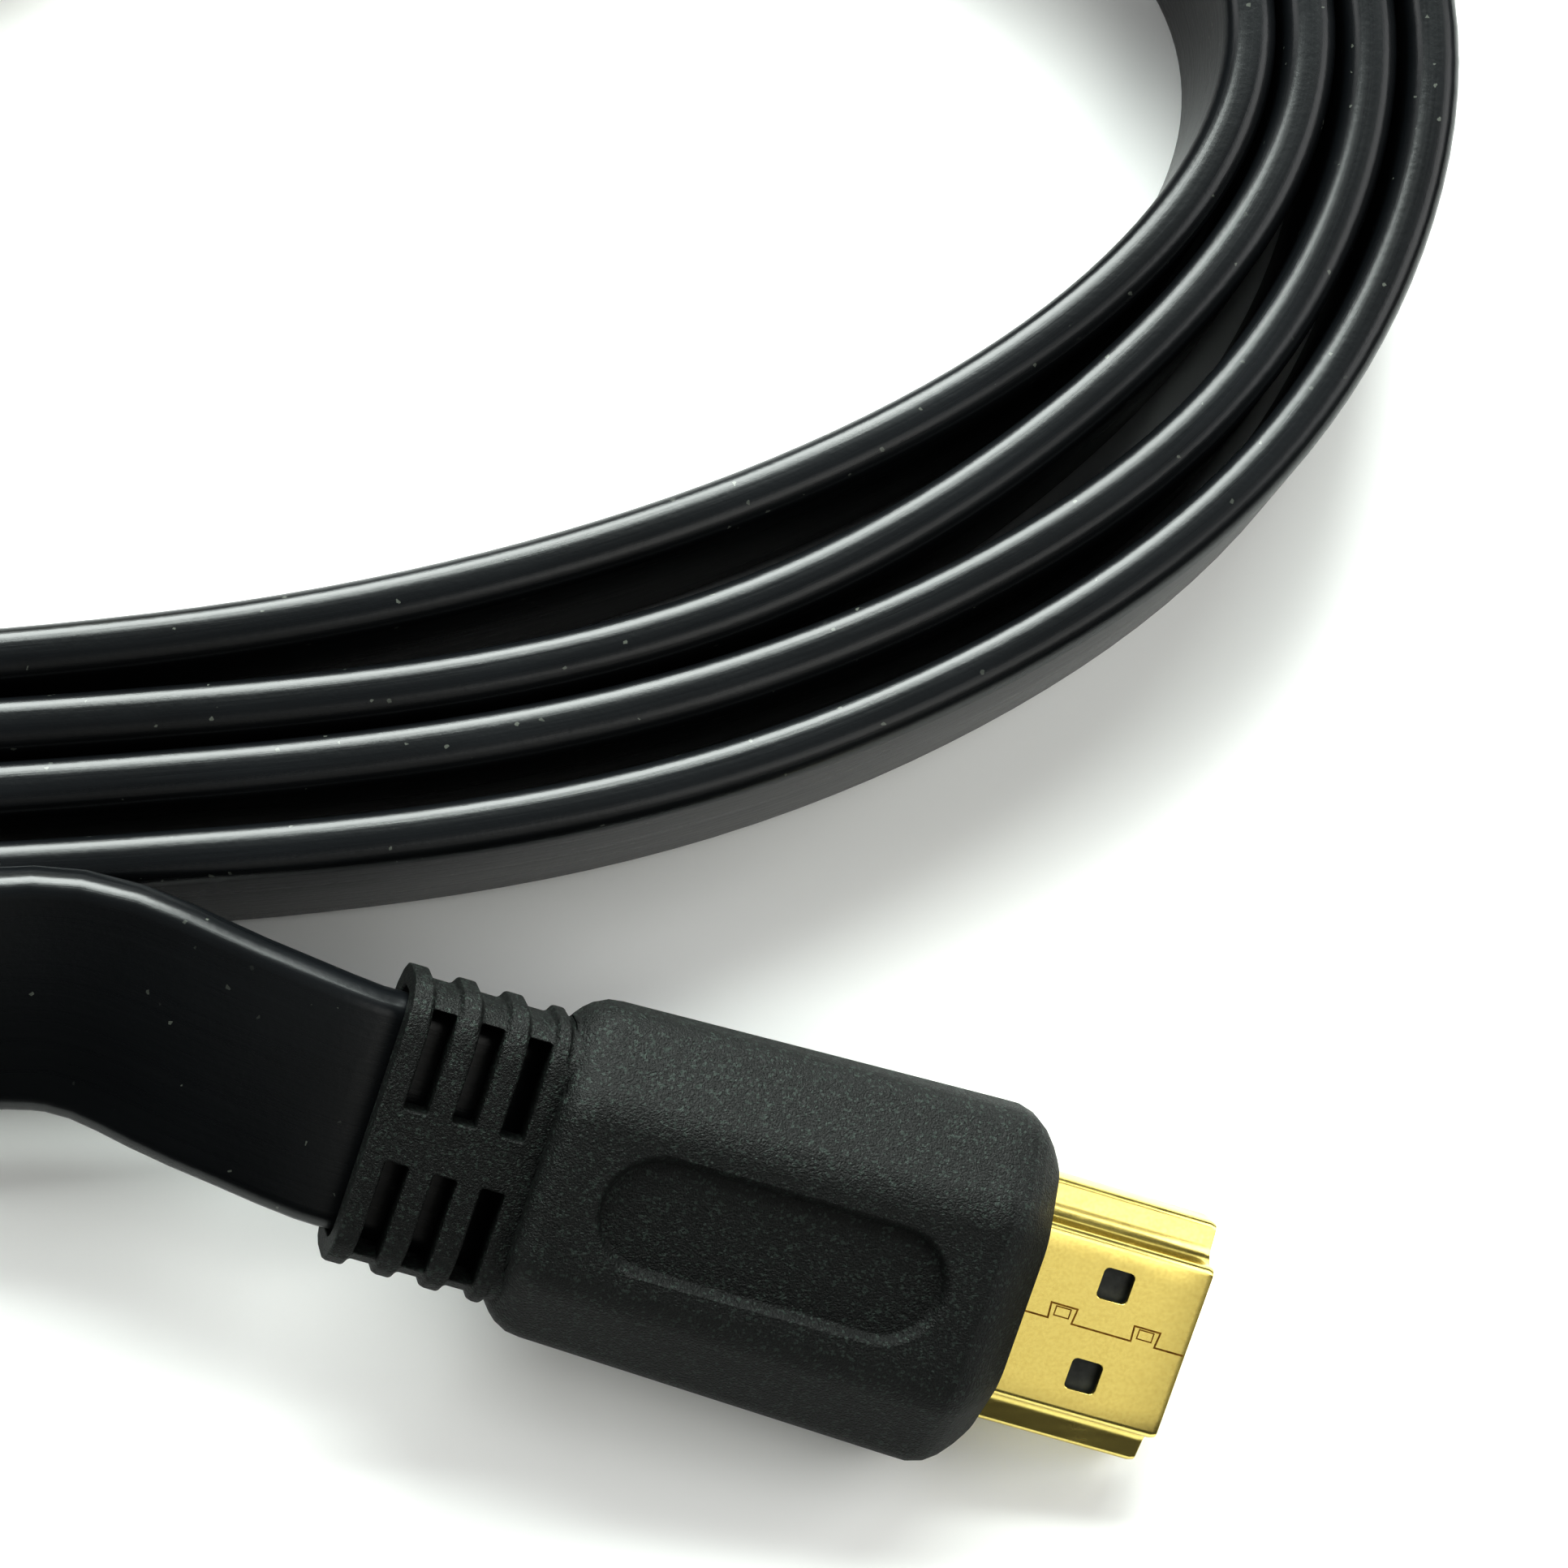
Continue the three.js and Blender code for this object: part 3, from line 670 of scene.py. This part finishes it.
def stadium(centre, length, width, z):
    """Points round an outline with straight sides and round ends, from its front right corner."""
    steps = 14
    radius = width / 2
    points = []
    for side in (1, -1):
        for k in range(steps + 1):
            turn = math.pi * k / steps - math.pi / 2
            points.append((centre + side * (length / 2 - radius + radius * math.cos(turn)),
                           side * radius * math.sin(turn), z))
    return points


def carve_recess(mesh, top, width):
    """Sinks a shallow recess with round ends and a soft rim into the given flat face."""
    g = settings().grip
    centre = -settings().shell.proud - g.recess_from_front
    slope = g.recess_depth * 0.7
    z = g.height / 2
    rim = [mesh.verts.new(p) for p in stadium(centre, g.recess_length, g.recess_width, z)]
    low = [mesh.verts.new(p) for p in stadium(
        centre, g.recess_length - 2 * slope, g.recess_width - 2 * slope, z - g.recess_depth)]
    by_place = {(v.co.x > centre, v.co.y > 0): v for v in top.verts}
    corners = [by_place[place] for place in ((True, False), (True, True), (False, True), (False, False))]
    mesh.faces.remove(top)
    half = len(rim) // 2
    bounds = (0, half - 1, half, len(rim) - 1, len(rim))
    for k in range(4):
        stretch = [rim[n % len(rim)] for n in range(bounds[k], bounds[k + 1] + 1)]
        mesh.faces.new([corners[k], corners[(k + 1) % 4], *reversed(stretch)])
    for k in range(len(rim)):
        n = (k + 1) % len(rim)
        mesh.faces.new((rim[k], rim[n], low[n], low[k]))
        mesh.edges.get((rim[k], rim[n]))[width] = 1.0
    floor = mesh.faces.new(low)
    for edge in floor.edges:
        edge[width] = 0.7
    bmesh.ops.recalc_face_normals(mesh, faces=mesh.faces)


def soften(piece, width, segments, weighted):
    """Rounds a piece's edges: those marked with a weight, or every edge that turns enough."""
    soft = piece.modifiers.new("edges", "BEVEL")
    soft.width = width
    soft.segments = segments
    soft.limit_method = "WEIGHT" if weighted else "ANGLE"
    soft.angle_limit = math.radians(30)
    soft.use_clamp_overlap = False
    soft.harden_normals = True
    soft.miter_outer = "MITER_ARC" if not weighted else "MITER_SHARP"


class CABLE_OT_grips(bpy.types.Operator):
    """Build the moulded grip of each plug"""

    bl_idname = "cable.grips"
    bl_label = "Grips"

    def execute(self, context):
        for prefix in ("near", "far"):
            mesh = grip_mesh()
            piece = to_piece(f"{prefix}_grip", mesh, once("eroded_vinyl", eroded_vinyl),
                             plug_frame(prefix))
            soften(piece, settings().grip.rim_round, 3, True)
            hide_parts(f"{prefix}_body")
        return {"FINISHED"}


def rounded_outline(y, z, corner, middle):
    """Points of a rounded rectangle, right side first, with a pair of points beside its middle."""
    turns = [math.radians(22.5) * k for k in range(5)]
    quarter = [(y - corner + corner * math.cos(t), z - corner + corner * math.sin(t)) for t in turns]
    quarter.append((middle, z))
    upper = quarter + [(-a, b) for a, b in reversed(quarter)]
    return upper + [(a, -b) for a, b in reversed(upper)]


# Sides of the outline, of twelve in each half, that a slot opens
SLOT_SIDES = (2, 3, 4, 6, 7, 8)


def relief_stations():
    """Places along the grid, the width there, and whether a slot begins there."""
    s = settings()
    r = s.relief
    back = -(s.shell.proud + s.grip.length + r.length)
    ease = 0.12 * MM
    wide = r.width + 2 * r.rib_proud
    stations = [(back, wide, False)]
    x = back
    for _ in range(r.slots):
        x += r.rib
        stations += [(x - ease, wide, False), (x + ease, r.width, True)]
        x += r.slot
        stations += [(x - ease, r.width, False), (x + ease, wide, False)]
    front = back + r.length
    stations += [(front - 0.35 * MM, wide, False), (front - 0.1 * MM, wide - 0.7 * MM, False),
                 (front + 1.5 * MM, wide - 0.7 * MM, False)]
    return stations


def relief_mesh():
    """The strain relief grid: a ribbed sleeve drawn section by section, with its slots opened."""
    s = settings()
    r = s.relief
    stations = relief_stations()
    mesh = bmesh.new()
    pocket = rounded_outline(s.ribbon.width / 2 + r.pocket_gap, s.ribbon.thickness / 2 + r.pocket_gap, 1.2 * MM,
                             r.spine / 2)
    outer, inner = [], []
    for x, width, _ in stations:
        outline = rounded_outline(width / 2, r.height / 2, r.corner, r.spine / 2)
        outer.append([mesh.verts.new((x, a, b)) for a, b in outline])
        inner.append([mesh.verts.new((x, a, b)) for a, b in pocket])
    count = len(pocket)

    def is_open(i, k):
        return 0 <= i < len(stations) and stations[i][2] and k % 12 in SLOT_SIDES

    for i in range(len(stations) - 1):
        for k in range(count):
            n = (k + 1) % count
            if not is_open(i, k):
                mesh.faces.new((outer[i][k], outer[i][n], outer[i + 1][n], outer[i + 1][k]))
                mesh.faces.new((inner[i][k], inner[i + 1][k], inner[i + 1][n], inner[i][n]))
                continue
            for (a, b), beside in (((i, k), (i, n)), (i - 1, k)), (((i + 1, n), (i + 1, k)), (i + 1, k)), \
                    (((i + 1, k), (i, k)), (i, k - 1)), (((i, n), (i + 1, n)), (i, k + 1)):
                if not is_open(*beside):
                    mesh.faces.new((outer[a[0]][a[1]], outer[b[0]][b[1]], inner[b[0]][b[1]], inner[a[0]][a[1]]))
    for i in (0, -1):
        for k in range(count):
            n = (k + 1) % count
            mesh.faces.new((outer[i][k], outer[i][n], inner[i][n], inner[i][k]))
    bmesh.ops.recalc_face_normals(mesh, faces=mesh.faces)
    return mesh


class CABLE_OT_reliefs(bpy.types.Operator):
    """Build the strain relief grid behind each grip"""

    bl_idname = "cable.reliefs"
    bl_label = "Strain reliefs"

    def execute(self, context):
        for prefix in ("near", "far"):
            piece = to_piece(f"{prefix}_relief", relief_mesh(), once("eroded_vinyl", eroded_vinyl),
                             plug_frame(prefix))
            soften(piece, 0.14 * MM, 3, False)
        return {"FINISHED"}


def shell_profile():
    """Corner points of the shell's section with the radius of each, right side from the bottom up."""
    s = settings().shell
    bottom, top = -s.height / 2, s.height / 2
    wide, narrow = s.width / 2, s.narrow_width / 2
    shoulder = bottom + s.side_height
    ledge = shoulder + s.ledge_rise
    window_in, window_out = s.window_offset - s.window / 2, s.window_offset + s.window / 2
    return (
        (window_in, bottom, 0), (window_out, bottom, 0), (wide, bottom, 0.55), (wide, shoulder, 0.3),
        (narrow, ledge, 0.8), (narrow, top, 0.45), (window_out, top, 0), (window_in, top, 0),
    )


def shell_ring(mesh):
    """The shell's outer section as a closed ring of edges, with its corners rounded."""
    right = shell_profile()
    points = [(y, z, r) for y, z, r in right] + [(-y, z, r) for y, z, r in reversed(right)]
    verts = [mesh.verts.new((0, y, z)) for y, z, _ in points]
    mesh.faces.new(verts)
    for vert, (_, _, radius) in zip(verts, points):
        if radius:
            round_corners(mesh, [vert], radius * MM, 5)
    face = mesh.faces[:][0]
    edges = list(face.edges)
    bmesh.ops.delete(mesh, geom=[face], context="FACES_ONLY")
    return edges


def shell_mesh():
    """The shell as one sheet drawn from the tip back, with its windows cut out."""
    s = settings().shell
    mesh = bmesh.new()
    ring = shell_ring(mesh)
    near, far = -s.window_from_tip + s.window / 2, -s.window_from_tip - s.window / 2
    stations = (-0.35 * MM, near, far, -s.proud, -(s.proud + s.buried))
    before = 0.0
    for x in stations:
        ring, verts = draw_on(mesh, ring)
        bmesh.ops.translate(mesh, verts=verts, vec=(x - before, 0, 0))
        before = x
    lip = [v for v in mesh.verts if v.co.x > -1e-6]
    bmesh.ops.scale(mesh, verts=lip, vec=(1, 0.985, 0.965))
    cut_windows(mesh, near, far)
    bmesh.ops.recalc_face_normals(mesh, faces=mesh.faces)
    outward = sum(f.normal.z for f in mesh.faces if f.calc_center_median().z > s.height / 2 - 1e-5)
    if outward < 0:
        bmesh.ops.reverse_faces(mesh, faces=mesh.faces)
    return mesh


def cut_windows(mesh, near, far):
    s = settings().shell
    holes = []
    for face in mesh.faces:
        c = face.calc_center_median()
        if far < c.x < near and abs(abs(c.z) - s.height / 2) < 1e-5 and \
                abs(abs(c.y) - s.window_offset) < s.window / 2:
            holes.append(face)
    corners = {v for f in holes for v in f.verts}
    bmesh.ops.delete(mesh, geom=holes, context="FACES_ONLY")
    round_corners(mesh, [v for v in corners if v.is_valid], 0.3 * MM, 3)


def finish_sheet(piece, wall):
    """Gives the sheet its metal thickness inwards and breaks its edges."""
    solid = piece.modifiers.new("wall", "SOLIDIFY")
    solid.thickness = wall
    solid.offset = -1
    soft = piece.modifiers.new("edges", "BEVEL")
    soft.width = 0.05 * MM
    soft.segments = 2
    soft.limit_method = "ANGLE"
    soft.angle_limit = math.radians(50)
    soft.harden_normals = True


# Folded seam of the shell in its narrow face: where each tab's foot and head begin and end, from
# the tip backwards, in millimetres
SEAM_TABS = ((-1.83, -3.2, -1.76, -3.27), (-6.64, -8.0, -6.57, -8.08))
SEAM_TAB_RISE = 0.85
SEAM_SIDE = -0.04


def seam_path():
    """The seam from the tip back to the grip, with its dovetailed tabs."""
    path = [(-0.15, SEAM_SIDE)]
    for foot_front, foot_back, head_front, head_back in SEAM_TABS:
        rise = SEAM_SIDE + SEAM_TAB_RISE
        path += [(foot_front, SEAM_SIDE), (head_front, rise), (head_back, rise), (foot_back, SEAM_SIDE)]
    path.append((-9.7, SEAM_SIDE))
    return [Vector((x, y)) * MM for x, y in path]


def groove(mesh, path, width, z, closed=False):
    """Lays a thin flat band along a path, mitred at its corners."""
    count = len(path)
    rows = []
    for i, point in enumerate(path):
        before = path[(i - 1) % count] if closed or i else point * 2 - path[1]
        after = path[(i + 1) % count] if closed or i < count - 1 else point * 2 - path[-2]
        first, second = (point - before).normalized(), (after - point).normalized()
        bisector = Vector((-(first + second).y, (first + second).x)).normalized()
        reach = width / 2 / max(0.4, bisector.dot(Vector((-first.y, first.x))))
        rows.append([mesh.verts.new((*(point + bisector * reach * side), z)) for side in (-1, 1)])
    for i in range(count if closed else count - 1):
        a, b = rows[i], rows[(i + 1) % count]
        mesh.faces.new((a[0], b[0], b[1], a[1]))


def seam_mesh():
    """The seam's gap and the small stamped mark in each tab, as thin flat bands that carry painted shade."""
    s = settings().shell
    mesh = bmesh.new()
    z = s.height / 2 + 0.004 * MM
    groove(mesh, seam_path(), s.seam, z)
    for foot_front, foot_back, _, _ in SEAM_TABS:
        middle = (foot_front + foot_back) / 2
        low, high = SEAM_SIDE + 0.22, SEAM_SIDE + SEAM_TAB_RISE - 0.12
        mark = [(middle - 0.42, low), (middle + 0.42, low), (middle + 0.42, high), (middle - 0.42, high)]
        groove(mesh, [Vector(p) * MM for p in mark], s.seam * 0.7, z, closed=True)
    bmesh.ops.recalc_face_normals(mesh, faces=mesh.faces)
    return mesh


class CABLE_OT_shells(bpy.types.Operator):
    """Build the plated shell of each plug with its folded seam"""

    bl_idname = "cable.shells"
    bl_label = "Shells"

    def execute(self, context):
        s = settings().shell
        gold = once("gold_plating", gold_plating, "gold_plating", s.colour, 0.22)
        for prefix in ("near", "far"):
            place = plug_frame(prefix)
            piece = to_piece(f"{prefix}_plating", shell_mesh(), gold, place)
            finish_sheet(piece, s.wall)
            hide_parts(f"{prefix}_shell")
            to_piece(f"{prefix}_seam", seam_mesh(), once("shaded_fold", shaded_fold), place)
        return {"FINISHED"}


class CABLE_OT_inserts(bpy.types.Operator):
    """Give the insulators and the contacts their finish"""

    bl_idname = "cable.inserts"
    bl_label = "Inserts"

    def execute(self, context):
        resin = once("dark_resin", dark_resin)
        gold = once("contact_gold", gold_plating, "contact_gold", linear("#e0bd55"), 0.25)
        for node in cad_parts:
            piece = bpy.data.objects.get(node)
            if piece is None or piece.type != "MESH":
                continue
            if "insulator" in node:
                dress(piece, resin)
            elif "contact" in node:
                dress(piece, gold)
        return {"FINISHED"}


def dress(piece, material):
    piece.data.materials.clear()
    piece.data.materials.append(material)


# Stage

CAMERA_FOCUS = 6000 / 1932
SENSOR = 36
UP_RIGHTWARDS = 0.135
UP_UPWARDS = 0.216
CAMERA_DISTANCE = 271.6
CARD_DISTANCE = 0.6
# How far the shell's ledge leans back from its narrow face
LEDGE_LEAN = math.radians(13)


def place_camera():
    """Looks down at the photo's middle with the floor's normal leaning to the right and up."""
    data = bpy.data.cameras.new("camera")
    data.sensor_width = SENSOR
    data.lens = CAMERA_FOCUS * SENSOR
    data.clip_start = 0.01
    data.clip_end = 10
    camera = bpy.data.objects.new("camera", data)
    bpy.context.scene.collection.objects.link(camera)
    normal = Vector((UP_RIGHTWARDS, UP_UPWARDS, math.sqrt(1 - UP_RIGHTWARDS ** 2 - UP_UPWARDS ** 2)))
    right = (Vector((1, 0, 0)) - normal * normal.x).normalized()
    ahead = normal.cross(right)
    turn = Matrix((right, ahead, normal)).transposed().inverted()
    camera.rotation_mode = "QUATERNION"
    world_to_camera = Matrix((right, ahead, normal)).transposed()
    camera.rotation_quaternion = world_to_camera.inverted().to_quaternion()
    back = turn @ Vector((0, 0, 1))
    camera.location = route_origin() + back * CAMERA_DISTANCE * MM
    bpy.context.scene.camera = camera


def add_light(name, size, power, place, aim, tint):
    data = bpy.data.lights.new(name, "AREA")
    data.shape = "RECTANGLE"
    data.size, data.size_y = size
    data.energy = power
    data.color = tint
    light = bpy.data.objects.new(name, data)
    bpy.context.scene.collection.objects.link(light)
    light.location = place
    light.rotation_mode = "QUATERNION"
    light.rotation_quaternion = (Vector(place) - Vector(aim)).to_track_quat("Z", "Y")


def mirrored_place(lean):
    """Where the camera sees itself mirrored in the near shell, for a face leaning back by that much."""
    plug = plug_frame("near")
    across, normal = plug.col[1].xyz, plug.col[2].xyz
    back_side = 1 if across.y > 0 else -1
    normal = normal * math.cos(lean) + across * back_side * math.sin(lean)
    spot = plug @ Vector((-settings().shell.proud / 2, 0, settings().shell.height / 2))
    view = (bpy.context.scene.camera.location - spot).normalized()
    return spot + (normal * 2 * normal.dot(view) - view) * CARD_DISTANCE, spot


def floor_material():
    """Plain pale board: matt paint with the faintest mottling."""
    material, tree = start_material("pale_board")
    where = add_node(tree, "ShaderNodeTexCoord")
    mottle = add_node(tree, "ShaderNodeTexNoise", {"Scale": 30.0, "Detail": 2.0}, {"Vector": where.outputs["Object"]})
    pale = tuple(settings().stage.floor)
    tint = ramp(tree, mottle.outputs["Fac"], ((0.3, tuple(c * 0.985 for c in pale[:3]) + (1,)), (0.7, pale)))
    shader = add_node(tree, "ShaderNodeBsdfPrincipled", {"Roughness": 0.85}, {"Base Color": tint.outputs[0]})
    end_material(tree, shader)
    return material


class CABLE_OT_stage(bpy.types.Operator):
    """Build the floor, the lights and the camera"""

    bl_idname = "cable.stage"
    bl_label = "Stage"

    def execute(self, context):
        mesh = bmesh.new()
        bmesh.ops.create_grid(mesh, x_segments=2, y_segments=2, size=3)
        data = bpy.data.meshes.new("floor")
        mesh.to_mesh(data)
        mesh.free()
        floor = bpy.data.objects.new("floor", data)
        floor.data.materials.append(floor_material())
        context.scene.collection.objects.link(floor)
        place_camera()
        s = settings().stage
        focus = route_origin()
        add_light("window", (0.5, 0.4), s.window, focus + Vector((-0.06, 0.6, 0.32)), focus, (0.95, 1.0, 0.97))
        add_light("strip", (0.7, 0.09), s.strip, focus + Vector((0, 0.48, 0.6)), focus, (0.93, 1.0, 0.96))
        for side in (-1, 1):
            add_light(f"side_{side + 2}", (0.5, 0.4), s.sides, focus + Vector((side * 0.6, 0.15, 0.5)), focus,
                      (1.0, 1.0, 0.99))
        for name, lean, power in (("face_card", 0, s.face), ("ledge_card", LEDGE_LEAN, s.ledge)):
            place, spot = mirrored_place(lean)
            add_light(name, (0.3, 0.3), power, place, spot, (1.0, 0.99, 0.95))
        add_light("front_card", (0.6, 0.4), s.front, focus + Vector((0.15, -0.34, 0.42)), focus, (1.0, 0.98, 0.9))
        add_light("ceiling", (1.2, 1.2), s.ceiling, focus + Vector((0, 0, 1.1)), focus, (0.97, 1.0, 1.0))
        world = bpy.data.worlds.new("world")
        world.use_nodes = True
        back = world.node_tree.nodes["Background"]
        back.inputs["Color"].default_value = linear("#eef4f4")
        back.inputs["Strength"].default_value = s.surround
        context.scene.view_settings.view_transform = "Standard"
        context.scene.view_settings.look = "High Contrast"
        context.scene.world = world
        return {"FINISHED"}


class CABLE_PT_panel(bpy.types.Panel):
    """Lists the cable's pieces"""

    bl_label = "Flat Video Cable"
    bl_idname = "CABLE_PT_panel"
    bl_space_type = "VIEW_3D"
    bl_region_type = "UI"
    bl_category = "Cable"

    def draw(self, context):
        column = self.layout.column()
        for operator in OPERATORS:
            column.operator(operator.bl_idname)


OPERATORS = (CABLE_OT_ribbon, CABLE_OT_grips, CABLE_OT_reliefs, CABLE_OT_shells, CABLE_OT_inserts, CABLE_OT_stage)
CLASSES = (RibbonSettings, GripSettings, ReliefSettings, ShellSettings, StageSettings, CableSettings,
           *OPERATORS, CABLE_PT_panel)


def register():
    for cls in CLASSES:
        bpy.utils.register_class(cls)
    bpy.types.Scene.flat_cable = PointerProperty(type=CableSettings)


def unregister():
    del bpy.types.Scene.flat_cable
    for cls in reversed(CLASSES):
        bpy.utils.unregister_class(cls)


def main():
    register()
    bpy.ops.cable.stage()
    bpy.ops.cable.ribbon()
    bpy.ops.cable.grips()
    bpy.ops.cable.reliefs()
    bpy.ops.cable.shells()
    bpy.ops.cable.inserts()


if __name__ == "__main__":
    main()
